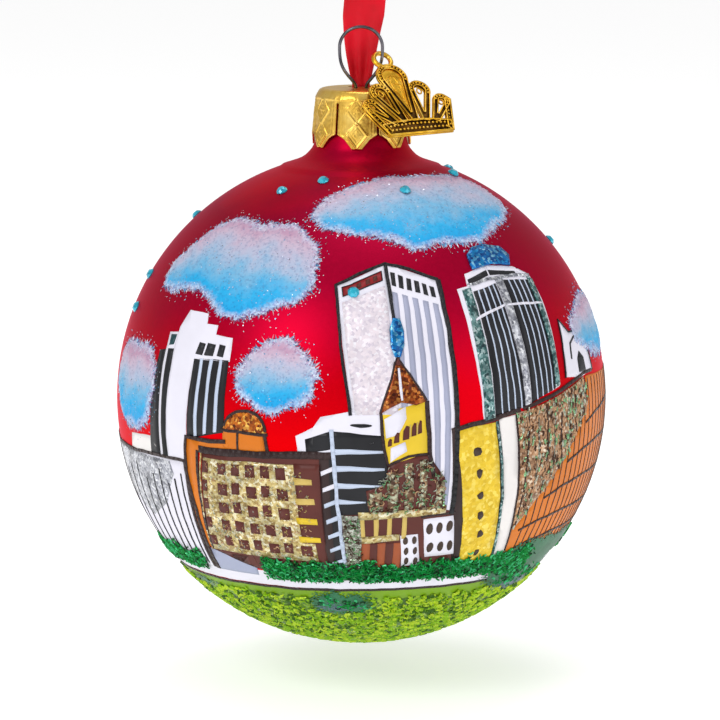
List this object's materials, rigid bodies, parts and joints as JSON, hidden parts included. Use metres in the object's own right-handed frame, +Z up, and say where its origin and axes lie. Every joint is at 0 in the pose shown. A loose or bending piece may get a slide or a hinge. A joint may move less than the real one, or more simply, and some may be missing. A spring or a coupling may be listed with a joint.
{
  "type": "hanging glass ornament",
  "caption": "Red glass ball ornament with raised glitter clouds, hedges and lawn, gold cap, wire loop, crown charm and satin ribbon.",
  "frame": {"origin": "inner top of the ribbon loop, where the ornament hangs on a hook or twig", "axes": "+Z up along the ball's axis, -Y towards the painted front, +X to the right seen from the front"},
  "size_m": [0.083, 0.083, 0.1547],
  "materials": {
    "lacquered_glass": "satin",
    "gold_metal": "satin",
    "steel_wire": "satin",
    "antique_gold": "antique",
    "red_satin": "satin",
    "turquoise_stone": "gloss",
    "white_glitter": "glitter",
    "green_glitter": "glitter",
    "lime_glitter": "glitter"
  },
  "bodies": {
    "ribbon_loop": {"ribbon": "red_satin"},
    "cap_and_tails": {"cap": "gold_metal", "ribbon_tails": "red_satin"},
    "ball": {"glass_ball": "lacquered_glass", "sky_gems": "turquoise_stone", "cloud_upper_left": "white_glitter", "cloud_top": "white_glitter", "cloud_left": "white_glitter", "cloud_middle": "white_glitter", "cloud_right": "white_glitter", "cloud_back_left": "white_glitter", "cloud_back_right": "white_glitter", "cloud_back_top": "white_glitter", "hedge_front": "green_glitter", "hedge_left": "green_glitter", "hedge_back": "green_glitter", "lawn": "lime_glitter"},
    "wire": {"hanger_wire": "steel_wire"},
    "charm": {"crown_charm": "antique_gold"}
  },
  "joints": [
    {"name": "ornament_twist", "type": "hinge", "parent": "ribbon_loop", "child": "cap_and_tails", "pos_m": [0, 0, -0.05], "axis": [0, 0, 1], "range_deg": [-90, 90]},
    {"name": "cap_pull", "type": "slide", "parent": "cap_and_tails", "child": "ball", "axis": [0, 0, -1], "range_m": [0, 0.018]},
    {"name": "loop_lean", "type": "hinge", "parent": "cap_and_tails", "child": "wire", "pos_m": [0, 0, -0.06], "axis": [-1, 0, 0], "range_deg": [0, 12]},
    {"name": "charm_swing", "type": "hinge", "parent": "wire", "child": "charm", "pos_m": [0.00357, -0.00122, -0.05532], "axis": [0.156, -0.205, 0.9662], "range_deg": [-8, 60]}
  ]
}
